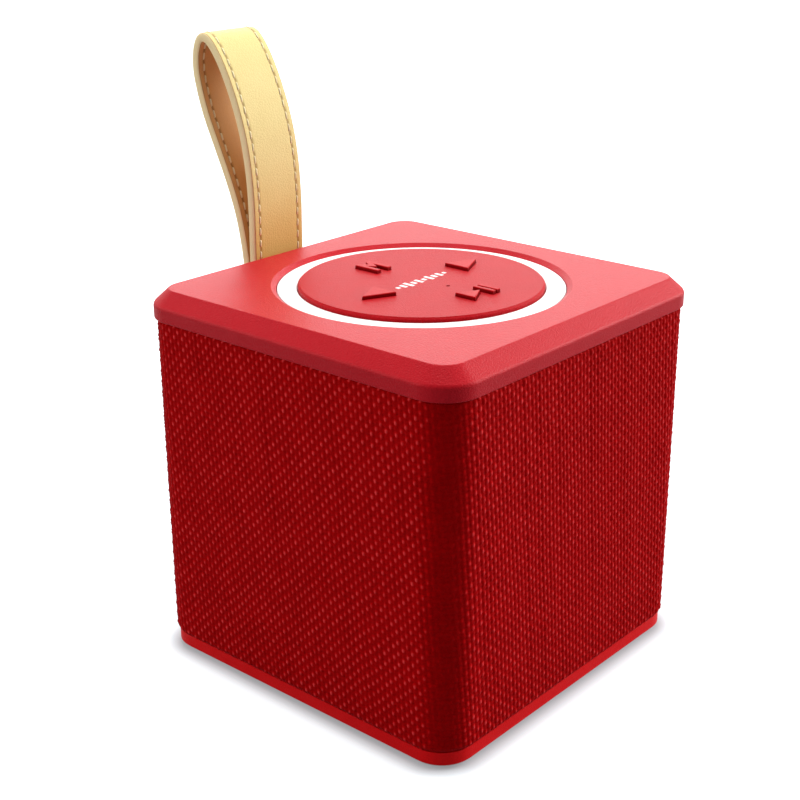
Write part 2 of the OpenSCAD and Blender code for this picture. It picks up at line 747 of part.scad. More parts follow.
module driver_spider() color([0.75, 0.65, 0.4]) driver_frame() ring_solid([
    [coil_r + former_t + slip, spider_z], [8, spider_z], [9, spider_z - 0.6], [10.5, spider_z + 0.4],
    [12, spider_z - 0.6], [13, spider_z], [spider_r, spider_z], [spider_r, spider_z + 0.3],
    [13, spider_z + 0.3], [12, spider_z - 0.3], [10.5, spider_z + 0.7], [9, spider_z - 0.3],
    [8, spider_z + 0.3], [coil_r + former_t + slip, spider_z + 0.3]
]);

module driver_terminals() color([0.8, 0.65, 0.3]) driver_frame()
    translate([23.2, -4, flange_under - 6]) cube([1.4, 8, 6]);

module driver_screws() color([0.7, 0.7, 0.72]) driver_frame()
    for (a = [45:90:315]) rotate(a) translate([driver_screw_r, 0, flange_under])
        screw([M2[0] + 0.3, 1.9, 1.4], driver_screw_l);

module driver_wires() color([0.7, 0.1, 0.1]) {
    start = driver_y - flange_under + 6;
    for (i = [-1, 1]) wire([
        [23.9, start, driver_z + 2 * i],
        [23.9, board_y[0] + 12 + 1.5 * i, driver_z + 2 * i],
        [23.9, board_y[0] + 12 + 1.5 * i, main_board_top + 4]
    ], wire_r);
}

// ---- main board, sockets and port panel ----

module main_board() color([0.1, 0.35, 0.2]) difference() {
    translate([-board_w / 2, board_y[0], main_board_under]) cube([board_w, board_y[1] - board_y[0], board_t]);
    for (x = [-1, 1], y = board_screw_y) translate([x * board_screw_x, y, 0])
        bore(M2[0] + shank_gap, main_board_under - eps, main_board_top + eps);
}

module main_board_screws() color([0.7, 0.7, 0.72])
    for (x = [-1, 1], y = board_screw_y) translate([x * board_screw_x, y, main_board_top])
        rotate([180, 0, 0]) screw(M2, board_t + 4);

module board_components() color([0.12, 0.12, 0.13]) {
    translate([-16, board_y[0] + 1, main_board_top]) cube([9, 12, 1.8]);
    translate([-16, board_y[0] + 15, main_board_top]) cube([5, 5, 1]);
    translate([-2, board_y[0] + 10, main_board_top]) cube([4, 4, 2]);
    for (x = [9, 16]) translate([x, board_y[0] + 9.5, 0]) bore(3, main_board_top, main_board_top + 7);
    translate([board_w / 2 - 4, board_y[0] + 9, main_board_top]) cube([4, 6, 4]);
}

module usb_socket() color([0.75, 0.75, 0.78])
    translate([usb_x - usb_size[0] / 2, socket_face - usb_size[1], main_board_top]) difference() {
        cube(usb_size);
        translate([0.4, 1, 0.4]) cube([usb_size[0] - 0.8, usb_size[1], usb_size[2] - 0.8]);
    }

module aux_socket() color([0.12, 0.12, 0.13])
    translate([aux_x, socket_face, main_board_top]) difference() {
        translate([-aux_size[0] / 2, -aux_size[1], 0]) cube(aux_size);
        translate([0, eps, aux_size[2] / 2]) rotate([90, 0, 0]) cylinder(r = aux_hole_r, h = aux_size[1]);
    }

module power_switch() color([0.75, 0.75, 0.78])
    translate([slider_x - 4.3, socket_face - 6, main_board_top]) difference() {
        cube([8.6, 4, 3.6]);
        translate([1.2, 2, 0.8]) cube([6.2, 3, 2]);
    }

// At rest the slider stands at the off end of its slot
off_x = slider_x - slider_travel / 2;

module power_switch_lever() color([0.9, 0.9, 0.9])
    translate([off_x - 0.8, socket_face - 3.8, slider_z - 0.6]) cube([1.6, 2.8, 1.2]);

module power_slider() color([0.85, 0.12, 0.18]) {
    translate([off_x - slider_knob[0] / 2, panel_in - 0.15 - eps, slider_z - slider_knob[1] / 2])
        cube([slider_knob[0], panel_t + 1.1 + eps, slider_knob[1]]);
    translate([off_x - slider_flange_l / 2, socket_face - 0.6, slider_z - 2])
        cube([slider_flange_l, panel_in - 0.1 - socket_face + 0.6, 4]);
    for (x = [-1, 1]) translate([off_x + x * 1.4 - 0.5, socket_face - 1.9, slider_z - 0.9]) cube([1, 1.4, 1.8]);
}

module status_light() color([0.95, 0.95, 0.95])
    translate([light_x, 0, panel_z]) rotate([-90, 0, 0]) {
        translate([0, 0, socket_face - 3]) cylinder(r = light_r + 0.4, h = panel_in - socket_face + 3);
        translate([0, 0, panel_in - eps]) cylinder(r = light_r, h = panel_t + eps);
    }

module port_panel() color([0.85, 0.12, 0.18]) difference() {
    panel_frame() translate([0, 0, panel_in - half]) linear_extrude(panel_t)
        rounded_box(panel_w, panel_h, panel_corner_r);
    panel_frame() for (x = [-1, 1]) translate([x * panel_screw_x, 0, panel_in - half - eps]) {
        cylinder(r = M2[0] + shank_gap, h = panel_t + 2 * eps);
        translate([0, 0, panel_t + eps - 1.3]) cylinder(r = M2[1] + shank_gap, h = 2);
    }
    translate([slider_x - (slider_knob[0] + slider_travel) / 2 - fit, panel_in - eps, slider_z - slider_knob[1] / 2 - fit])
        cube([slider_knob[0] + slider_travel + 2 * fit, panel_t + 2 * eps, slider_knob[1] + 2 * fit]);
    translate([usb_x - 4.2, panel_in - eps, main_board_top - 0.4]) cube([8.4, panel_t + 2 * eps, 3.4]);
    translate([aux_x, panel_in - eps, main_board_top + aux_size[2] / 2]) rotate([-90, 0, 0])
        cylinder(r = 3, h = panel_t + 2 * eps);
    translate([light_x, panel_in - eps, panel_z]) rotate([-90, 0, 0]) cylinder(r = light_r + slip, h = panel_t + 2 * eps);
}

module port_panel_screws() color([0.7, 0.7, 0.72]) panel_frame()
    for (x = [-1, 1]) translate([x * panel_screw_x, 0, panel_in - half + panel_t - 1.3])
        rotate([180, 0, 0]) screw(M2, panel_t - 1.3 + 3);

// ---- battery ----

module battery_cell() color([0.2, 0.35, 0.6])
    translate([-cell_l / 2, cell_y, cell_z]) rotate([0, 90, 0]) cylinder(r = cell_r, h = cell_l);

module battery_pads() color([0.1, 0.1, 0.1])
    for (x = [-1, 1]) intersection() {
        translate([x * saddle_x - saddle_t / 2, cell_y, cell_z]) rotate([0, 90, 0]) difference() {
            cylinder(r = cell_r + pad_foam - slip, h = saddle_t);
            translate([0, 0, -eps]) cylinder(r = cell_r + slip, h = saddle_t + 2 * eps);
        }
        translate([x * saddle_x - saddle_t / 2, cell_y - cell_r + 1.5, base_top]) cube([saddle_t, 2 * cell_r - 3, 6]);
    }

module battery_socket() color([0.9, 0.9, 0.85])
    translate([board_w / 2 - 12, board_y[0] + 0.5, main_board_top]) cube([4, 5, 3.6]);

// The two leads, from the cell's ends to the socket on the main board
module battery_wires() color([0.6, 0.1, 0.1]) {
    over = cell_z + cell_r + 2;
    for (i = [-1, 1]) wire([
        [i * (cell_l / 2 + wire_r), cell_y, cell_z],
        [i * (cell_l / 2 + wire_r), cell_y, over],
        [board_w / 2 - 10 + i, cell_y, over],
        [board_w / 2 - 10 + i, board_y[0] + 3, over],
        [board_w / 2 - 10 + i, board_y[0] + 3, main_board_top + 3.6]
    ], wire_r);
}

base();
rubber_foot();
base_screws();
base_gasket();
housing();
cloth_sleeve();
top_cap();
cap_screws();
light_ring();
keypad_disc();
mode_key();
previous_key();
next_key();
play_key();
mode_switch_plunger();
previous_switch_plunger();
next_switch_plunger();
play_switch_plunger();
key_switches();
control_board();
control_board_screws();
ring_leds();
microphone();
microphone_boot();
ribbon_sockets();
ribbon_cable();
strap_loop();
strap_ends();
strap_clamp();
strap_clamp_screws();
driver_grille();
driver_gasket();
driver_basket();
driver_top_plate();
driver_magnet();
driver_yoke();
voice_coil();
driver_cone();
dust_cap();
driver_surround();
driver_spider();
driver_terminals();
driver_screws();
driver_wires();
main_board();
main_board_screws();
board_components();
usb_socket();
aux_socket();
power_switch();
power_switch_lever();
power_slider();
status_light();
port_panel();
port_panel_screws();
battery_cell();
battery_pads();
battery_socket();
battery_wires();
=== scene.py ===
"""Looks of a small cube loudspeaker: cloth body, moulded cap and base, lit ring, control pad, leather strap.

X is width, -Y is the front, Z is up, and Z = 0 is the surface it stands on; lengths are metres.
Every shape is a grid worked out with numpy: a profile that is carried round a rounded square, round a
circle or along a path. Each section holds one piece or group of pieces, in the order of assembly.
"""
import json
import math

import bpy
import numpy as np
from mathutils import Matrix, Vector


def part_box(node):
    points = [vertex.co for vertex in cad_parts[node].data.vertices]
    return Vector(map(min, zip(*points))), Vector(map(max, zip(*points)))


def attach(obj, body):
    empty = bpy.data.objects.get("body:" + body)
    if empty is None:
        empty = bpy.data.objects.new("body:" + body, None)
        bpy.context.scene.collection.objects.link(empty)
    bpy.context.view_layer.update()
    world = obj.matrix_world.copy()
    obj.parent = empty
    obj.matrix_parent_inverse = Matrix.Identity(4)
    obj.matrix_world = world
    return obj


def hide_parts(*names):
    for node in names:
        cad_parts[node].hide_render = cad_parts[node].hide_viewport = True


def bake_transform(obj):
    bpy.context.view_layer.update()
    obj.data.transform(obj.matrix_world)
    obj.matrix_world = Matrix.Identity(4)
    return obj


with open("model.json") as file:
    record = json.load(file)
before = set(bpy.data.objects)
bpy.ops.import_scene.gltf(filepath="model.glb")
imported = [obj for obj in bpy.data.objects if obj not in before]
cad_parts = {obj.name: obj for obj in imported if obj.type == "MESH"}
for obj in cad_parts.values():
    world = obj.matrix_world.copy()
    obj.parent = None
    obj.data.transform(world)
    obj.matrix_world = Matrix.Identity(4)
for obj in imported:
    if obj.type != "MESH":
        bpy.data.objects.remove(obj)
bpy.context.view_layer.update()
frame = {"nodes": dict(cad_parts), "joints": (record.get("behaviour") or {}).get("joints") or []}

nodes = frame["nodes"]
MM = 0.001


# --- Base -------------------------------------------------------------------------------------------
# The base is a shallow red tray moulded in ABS, with a fine spark-eroded grain. The housing is screwed
# down on it from below, and its edge shows as a thin red line under the cloth.
class Wire:
    """A value in a node tree: the usual signs add the Math node that works them out."""

    def __init__(self, nodes, socket):
        self.nodes, self.socket = nodes, socket

    def maths(self, operation, *others):
        """A Math node of that operation, with this value first."""
        return self.nodes.node("ShaderNodeMath", {"operation": operation}, dict(enumerate((self, *others))))

    def __add__(self, other): return self.maths("ADD", other)
    def __sub__(self, other): return self.maths("SUBTRACT", other)
    def __rsub__(self, other): return self.maths("MULTIPLY_ADD", -1.0, other)
    def __mul__(self, other): return self.maths("MULTIPLY", other)
    def __pow__(self, other): return self.maths("POWER", other)

    __radd__, __rmul__ = __add__, __mul__

    def clipped(self):
        """The same value, kept from 0 to 1."""
        return self.nodes.node("ShaderNodeClamp", {}, {"Value": self})


class Nodes:
    """The emptied node tree of a material or a world."""

    def __init__(self, owner):
        owner.use_nodes = True
        self.tree = owner.node_tree
        self.tree.nodes.clear()

    def node(self, kind, settings, sockets, out=0):
        """Adds a node: its settings first, then the values or links of its sockets."""
        made = self.tree.nodes.new(kind)
        for key, value in settings.items():
            if key == "stops":
                for k, (place, colour) in enumerate(value):
                    stop = made.color_ramp.elements[k] if k < 2 else made.color_ramp.elements.new(place)
                    stop.position, stop.color = place, (*colour, 1)
            else:
                setattr(made, key, value)
        for key, value in sockets.items():
            key = key.replace("_", " ") if isinstance(key, str) else key
            if isinstance(value, Wire):
                self.tree.links.new(value.socket, made.inputs[key])
            else:
                made.inputs[key].default_value = value
        return Wire(self, made.outputs[out]) if out is not None else made

    def outputs(self, kind, *names):
        """Several outputs of one node that has no inputs to fill."""
        made = self.node(kind, {}, {}, out=None)
        return [Wire(self, made.outputs[name]) for name in names]

    def smooth_range(self, value, start, stop, low, high):
        """A value mapped from start..stop to low..high on a curve that is level at both ends."""
        return self.node("ShaderNodeMapRange", {"interpolation_type": "SMOOTHSTEP"}, {
            "Value": value, "From Min": start, "From Max": stop, "To Min": low, "To Max": high})


class Look(Nodes):
    """A finish made of nodes, ending in one Principled shader; kept holds the sockets set once for all."""

    def __init__(self, name, **kept):
        self.material = bpy.data.materials.new(name)
        super().__init__(self.material)
        self.shader = self.node("ShaderNodeBsdfPrincipled", {}, kept)
        self.end = self.node("ShaderNodeOutputMaterial", {}, {"Surface": self.shader}, out=None)

    def feed(self, **links):
        """Links what changes over the surface into the shader."""
        for key, value in links.items():
            self.tree.links.new(value.socket, self.shader.socket.node.inputs[key.replace("_", " ")])
        return self

    def attribute(self, name):
        """A number that the mesh carries at each of its points."""
        return self.node("ShaderNodeAttribute", {"attribute_name": name}, {}, out="Fac")

    def place(self, stretch=(1, 1, 1)):
        """Object coordinates in millimetres, stretched by a factor along each axis."""
        where = self.node("ShaderNodeTexCoord", {}, {}, out="Object")
        return self.node("ShaderNodeMapping", {}, {"Vector": where, "Scale": [1000 * s for s in stretch]})

    def height(self):
        """The height over the floor, in millimetres."""
        return self.node("ShaderNodeSeparateXYZ", {}, {0: self.place()}, out="Z")

    def noise(self, size, detail=2.0, stretch=(1, 1, 1)):
        """Soft noise from 0 to 1 whose lumps are about size millimetres."""
        return self.node("ShaderNodeTexNoise", {}, {
            "Vector": self.place(stretch), "Scale": 1 / size, "Detail": detail, "Roughness": 0.5})

    def mix(self, factor, first, second):
        """A colour from first at factor 0 to second at factor 1."""
        ends = [end if isinstance(end, Wire) else (*end, 1) for end in (first, second)]
        return self.node("ShaderNodeMix", {"data_type": "RGBA"}, {0: factor, 6: ends[0], 7: ends[1]}, out=2)

    def bump(self, height, depth):
        """Normals that follow a height from 0 to 1, of that depth in millimetres."""
        return self.node("ShaderNodeBump", {}, {"Height": height, "Distance": depth * MM, "Strength": 1.0})


def srgb(red, green, blue):
    """The linear colour of a screen colour given from 0 to 255."""
    part = np.array([red, green, blue]) / 255
    return tuple(np.where(part > 0.04045, ((part + 0.055) / 1.055) ** 2.4, part / 12.92))


def moulded(name, colour, roughness=0.42, grain=0.05, speckle=0.22, gloss=0.23, painted_shade_below=None):
    """Textured plastic: the colour wavers a little, and fine pits scatter the gloss. Where a shade height is
    given, in millimetres, painted shade deepens the colour under it."""
    tint = [0.15 + 0.85 * c / max(colour) for c in colour]
    look = Look(name, Specular_IOR_Level=gloss, Specular_Tint=(*tint, 1))
    fine, broad = look.noise(0.30, 1.0), look.noise(6.0, 3.0)
    dark = tuple(c * (1 - speckle) for c in colour)
    light = tuple(min(1.0, c * (1 + speckle) + 0.006) for c in colour)
    base = look.mix(fine * 0.7 + broad * 0.3, dark, light)
    if painted_shade_below is not None:
        # painted shade: a darker colour under the given height
        under = ((painted_shade_below - look.height()) * 8.0).clipped()
        base = look.mix(under, base, tuple(c * 0.45 for c in colour))
    return look.feed(
        Base_Color=base,
        Roughness=roughness - 0.05 + 0.10 * look.noise(0.45, 3.0),
        Normal=look.bump(fine + 0.6 * look.noise(0.4, 2.0), grain)).material


def finish(node, material):
    """Gives a CAD part its material on every slot."""
    slots = nodes[node].data.materials
    if not slots:
        slots.append(material)
    for k in range(len(slots)):
        slots[k] = material


red_base = moulded("red_base", srgb(240, 10, 16), gloss=0.16)
finish("base", red_base)

# --- Foot -------------------------------------------------------------------------------------------
# One square band of black rubber is glued into a groove in the base, and keeps the speaker from sliding.
rubber = Look("foot_rubber", Base_Color=(0.02, 0.02, 0.021, 1))
rubber.feed(Roughness=0.62 + 0.2 * rubber.noise(0.8, 4.0), Normal=rubber.bump(rubber.noise(0.25, 3.0), 0.02))
for part in ("rubber_foot", "base_gasket", "driver_gasket", "battery_pads", "microphone_boot"):
    finish(part, rubber.material)


# --- Cap --------------------------------------------------------------------------------------------
# The cap is one red ABS moulding: an upright band, a wide chamfer and a flat top, each edge softly
# rounded, with a round recess for the lit ring. It is pushed down into the housing and screwed from inside.
def side_points(half, corner_r, straight=30, turn=14):
    """Once round a rounded square, anticlockwise from the corner at +X, +Y: the anchor that each point is
    measured from, and its outward direction. The point at offset d is anchor + (corner_r + d) * out."""
    inner = half - corner_r
    anchors, outs = [], []
    for k in range(4):
        start = math.pi / 2 * k
        angle = start + np.linspace(0, math.pi / 2, turn, endpoint=False)
        centre = inner * np.array([math.cos(start) - math.sin(start), math.sin(start) + math.cos(start)])
        anchors.append(np.repeat(centre[None], turn, 0))
        outs.append(np.stack([np.cos(angle), np.sin(angle)], 1))
        along = np.linspace(0, 1, straight, endpoint=False)[:, None]
        after = inner * np.array([-math.sin(start) - math.cos(start), math.cos(start) - math.sin(start)])
        anchors.append(centre * (1 - along) + after * along)
        outs.append(np.repeat([[-math.sin(start), math.cos(start)]], straight, 0))
    return np.concatenate(anchors), np.concatenate(outs)


def rounded(corners, radii, steps=6):
    """A path through the corners, each rounded by an arc that touches both of its lines: radius r, from
    r * tan(turn / 2) before the corner. Gives the points, and the normals to the right of the path."""
    corners = np.array(corners, float)
    line = np.diff(corners, axis=0)
    line /= np.linalg.norm(line, axis=1)[:, None]
    points, normals = [corners[:1]], [np.stack([line[:1, 1], -line[:1, 0]], 1)]
    for corner, r, before, after in zip(corners[1:-1], radii, line[:-1], line[1:]):
        turn = math.atan2(before[0] * after[1] - before[1] * after[0], before @ after)
        a = np.linspace(0, turn, steps + 1)[:, None]
        right = np.array([before[1], -before[0]])
        swung = np.cos(a) * right + np.sin(a) * np.array([-right[1], right[0]])
        side = math.copysign(r, turn)
        centre = corner - before * r * math.tan(abs(turn) / 2) - side * right
        points.append(centre + side * swung)
        normals.append(swung)
    points.append(corners[-1:])
    normals.append(np.stack([line[-1:, 1], -line[-1:, 0]], 1))
    return np.concatenate(points), np.concatenate(normals)


def with_height(flat, height):
    """A grid of flat points or directions, with one height for each row."""
    return np.concatenate([flat, np.broadcast_to(height[:, None, None], (*flat.shape[:2], 1))], 2)


def round_square(profile, normals, anchors, outs, corner_r):
    """Carries a profile of (offset, height) round a rounded square; gives its points and normals."""
    reach = (corner_r + profile[:, 0])[:, None, None] * outs
    return (with_height(anchors + reach, profile[:, 1]),
            with_height(normals[:, 0, None, None] * outs, normals[:, 1]))


def revolve(profile, normals, angle):
    """Carries a profile of (radius, height) round the upright axis, past the given angles."""
    ray = np.stack([np.cos(angle), np.sin(angle)], 1)
    return (with_height(profile[:, 0, None, None] * ray, profile[:, 1]),
            with_height(normals[:, 0, None, None] * ray, normals[:, 1]))


def quads(rows, columns, close_rows=False, close_columns=True):
    """The corner numbers of the faces between neighbours on a grid of rows by columns."""
    r = np.arange(rows if close_rows else rows - 1)[:, None]
    c = np.arange(columns if close_columns else columns - 1)[None]
    r2, c2 = (r + 1) % rows, (c + 1) % columns
    return np.stack(np.broadcast_arrays(r * columns + c, r * columns + c2, r2 * columns + c2,
                                        r2 * columns + c), 2).reshape(-1, 4)


def skin(name, points, faces, material, normals=None):
    """A mesh of four-cornered faces, smooth, with its own normals where they are given."""
    points = np.asarray(points, float).reshape(-1, 3)
    mesh = bpy.data.meshes.new(name)
    mesh.vertices.add(len(points))
    mesh.vertices.foreach_set("co", points.ravel())
    mesh.loops.add(faces.size)
    mesh.loops.foreach_set("vertex_index", faces.ravel())
    mesh.polygons.add(len(faces))
    mesh.polygons.foreach_set("loop_start", np.arange(0, faces.size, faces.shape[1]))
    mesh.update(calc_edges=True)
    mesh.validate()
    mesh.shade_smooth()
    if normals is not None:
        mesh.normals_split_custom_set_from_vertices(np.asarray(normals, float).reshape(-1, 3))
    mesh.materials.append(material)
    piece = bpy.data.objects.new(name, mesh)
    bpy.context.scene.collection.objects.link(piece)
    return piece


cap_half, _, cap_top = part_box("top_cap")[1]
cap_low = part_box("cloth_sleeve")[1].z + 0.05 * MM  # a hair over the cloth's upper edge
cap_corner, cap_chamfer, cap_band = 7.9 * MM, 3.3 * MM, 3.1 * MM
cap_wall, cap_plate = 3.4 * MM, 2.3 * MM
lip_r, recess_r, recess_drop = 31.6 * MM, 30.5 * MM, 0.8 * MM

anchors, outs = side_points(cap_half, cap_corner)
outer, outer_n = rounded(
    [(-cap_wall, cap_low + 2 * MM), (-cap_wall, cap_low), (0, cap_low), (0, cap_low + cap_band),
     (-cap_chamfer, cap_top), (-cap_chamfer - 1.0 * MM, cap_top)],
    [0.2 * MM, 0.3 * MM, 1.2 * MM, 0.5 * MM])
inner, inner_n = rounded(
    [(lip_r + 0.6 * MM, cap_top), (lip_r, cap_top), (recess_r, cap_top - recess_drop),
     (recess_r, cap_top - cap_plate), (recess_r + 1.5 * MM, cap_top - cap_plate)],
    [0.25 * MM, 0.15 * MM, 0.15 * MM])
outer_grid, outer_facing = round_square(outer, outer_n, anchors, outs, cap_corner)
facing_angle = np.arctan2(outer_grid[-1, :, 1], outer_grid[-1, :, 0])
inner_grid, inner_facing = revolve(inner, inner_n, facing_angle)
under, under_facing = round_square(
    np.array([(-cap_wall, cap_top - cap_plate)]), np.array([(0.0, -1.0)]), anchors, outs, cap_corner)
cap_grid = np.concatenate([outer_grid, inner_grid, under])
red_cap = moulded("red_cap", srgb(186, 16, 30), roughness=0.40, gloss=0.27, grain=0.08)
cap = skin("cap_shell", cap_grid, quads(*cap_grid.shape[:2], close_rows=True), red_cap,
           np.concatenate([outer_facing, inner_facing, under_facing]))
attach(cap, "root")
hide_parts("top_cap")

# --- Lit ring ---------------------------------------------------------------------------------------
# A ring of opal plastic lies in the cap's recess and glows evenly white from the lamps under it.
ring_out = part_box("light_ring")[1].z
opal = Look("opal_ring", Base_Color=(0.86, 0.86, 0.86, 1), Emission_Strength=0.12)
opal.feed(Roughness=0.35 + 0.1 * opal.noise(1.5), Emission_Color=opal.mix(
    opal.noise(9.0, 1.0), (1.0, 0.985, 0.985), (1, 1, 1)))
ring_path, ring_path_n = rounded(
    [(28.3 * MM, ring_out - 1.3 * MM), (30.35 * MM, ring_out - 1.3 * MM), (30.35 * MM, ring_out),
     (26.2 * MM, ring_out), (26.2 * MM, ring_out - 1.3 * MM), (28.2 * MM, ring_out - 1.3 * MM)],
    [0.1 * MM, 0.2 * MM, 0.2 * MM, 0.1 * MM])
around = np.linspace(0, 2 * math.pi, 192, endpoint=False)
ring_grid, ring_facing = revolve(ring_path, ring_path_n, around)
ring = skin("opal_ring", ring_grid, quads(*ring_grid.shape[:2], close_rows=True), opal.material,
            ring_facing)
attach(ring, "root")
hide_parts("light_ring")
finish("ring_leds", opal.material)

# --- Control pad and keys ---------------------------------------------------------------------------
# The pad is a lighter red moulding that stands up through the ring. Four keys rise through it, each on
# its own switch; their tops are smoother than the pad, and their edges are slightly rounded.
red_pad = moulded("red_pad", srgb(178, 10, 22), roughness=0.46, gloss=0.15, grain=0.11)
finish("keypad_disc", red_pad)
key_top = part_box("mode_key")[1].z
# The keys' walls, from 0.15 mm under their tops downward, are darkened in colour: painted shade.
red_key = moulded("red_key", srgb(186, 10, 20), roughness=0.44, gloss=0.16, grain=0.05,
                  painted_shade_below=(key_top / MM) - 0.15)


def raised(outline, low, high, edge, steps=4):
    """An upright block on a closed outline: the wall goes up, then turns in over a quarter round of
    radius edge. At each corner the inset follows the sum of the two wall normals over 1 + their product."""
    outline = np.array(outline, float)
    along = np.roll(outline, -1, 0) - outline
    along /= np.linalg.norm(along, axis=1)[:, None]
    right = np.stack([along[:, 1], -along[:, 0]], 1)
    before = np.roll(right, 1, 0)
    corner = (right + before) / (1 + (right * before).sum(1))[:, None]
    turn = np.linspace(0, math.pi / 2, steps + 1)
    inset = np.concatenate([[0], edge * (1 - np.cos(turn))])
    height = np.concatenate([[low], high - edge * (1 - np.sin(turn))])
    return with_height(outline - corner * inset[:, None, None], height)


def block(name, outlines, low, high, edge, material):
    """One piece made of raised blocks with closed tops and undersides."""
    points, faces, count = [], [], 0
    for outline in outlines:
        grid = raised(outline, low, high, edge)
        rows, columns = grid.shape[:2]
        faces += (quads(rows, columns) + count).tolist()
        faces.append([count + (rows - 1) * columns + k for k in range(columns)])
        faces.append([count + k for k in reversed(range(columns))])
        points.append(grid.reshape(-1, 3))
        count += rows * columns
    mesh = bpy.data.meshes.new(name)
    mesh.from_pydata(np.concatenate(points).tolist(), [], faces)
    mesh.shade_smooth()
    mesh.set_sharp_from_angle(angle=math.radians(40))
    mesh.materials.append(material)
    piece = bpy.data.objects.new(name, mesh)
    bpy.context.scene.collection.objects.link(piece)
    even = piece.modifiers.new("even", "WEIGHTED_NORMAL")
    even.keep_sharp = True
    return piece


pad_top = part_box("keypad_disc")[1].z
pad_cut = pad_top - 1.5 * MM


def arrow(length, width, x=0.0, turn=1):
    """A triangle that points along X, centred on x."""
    tip = np.array([(length / 2, 0), (-length / 2, width / 2), (-length / 2, -width / 2)])
    return [(MM * (x + turn * px), MM * turn * py) for px, py in tip]


def bar(x, wide, tall):
    """A rectangle centred on x, as wide along X and as tall along Y as given."""
    corners = (1, -1), (1, 1), (-1, 1), (-1, -1)
    return [(MM * (x + sx * wide / 2), MM * sy * tall / 2) for sx, sy in corners]


def shifted(outline, x, y):
    """The same outline moved by x and y."""
    return [(px + x, py + y) for px, py in outline]


# The mode key's outline, in millimetres, goes round once anticlockwise from its lower right corner.
stem, arm, end, v_low, notch, shoulder = 2.25, 1.1, 3.2, -1.2, 1.45, 0.75
mode_outline = [(stem, -end), (stem, end), (arm, end), (0, notch), (-arm, end), (-stem, end),
                (-stem, -end), (-arm, -end), (-arm, shoulder), (0, v_low), (arm, shoulder), (arm, -end)]
mode_y, side_x, play_y = 13.6 * MM, 15.1 * MM, -15.2 * MM
key_blocks = {
    "mode": [shifted([(x * MM, y * MM) for x, y in mode_outline], 0, mode_y)],
    "previous": [shifted(arrow(6.8, 6.3, turn=-1), -side_x, 0)],
    "next": [shifted(arrow(6.8, 6.3), side_x, 0)],
    "play": [shifted(outline, 0, play_y) for outline in (
        arrow(4.8, 5.2, x=-1.9), bar(1.95, 0.95, 5.2), bar(3.4, 0.95, 5.2))],
}
for key, outlines in key_blocks.items():
    piece = block(f"{key}_key_top", outlines, pad_cut, key_top, 0.22 * MM, red_key)
    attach(piece, f"{key}_button")
    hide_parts(f"{key}_key")

# --- Print on the pad -------------------------------------------------------------------------------
# A row of plain level bars is printed in white ink across the middle of the pad. The ink lies 0.03 mm
# thick on the plastic.
ink = Look("white_ink", Base_Color=(0.9, 0.9, 0.9, 1))
ink.feed(Roughness=0.5 + 0.1 * ink.noise(0.6), Normal=ink.bump(ink.noise(0.2), 0.004))
levels = [1.0, 1.9, 2.8, 1.5, 2.3, 1.2, 2.6, 1.7, 2.1, 0.9]
bars = [bar(x, 0.84, level) for x, level in zip(np.linspace(-7.45, 7.45, len(levels)), levels)]
print_mark = block("printed_bars", bars, pad_top + 0.002 * MM, pad_top + 0.03 * MM, 0.01 * MM, ink.material)
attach(print_mark, "root")

# --- Cloth ------------------------------------------------------------------------------------------
# A plain-woven red cloth is stretched round the housing, glued, and tucked under at its lower edge and
# round the ports. Its upright yarns are the thick, shiny ones, with a painted highlight on their tops; the
# level yarns lie deeper and darker. On the four bends the highlight is left out and the colour darkened:
# painted shade.
cloth_low, cloth_high = (corner.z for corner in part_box("cloth_sleeve"))
cloth_half, cloth_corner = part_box("cloth_sleeve")[1].x - 0.1 * MM, 8.4 * MM
columns, rows, per_column, per_row, panels = 262, 63, 6, 4, 6
lean = 5  # how many yarns the upright ones shift to the left on their way up
rng = np.random.default_rng(7)


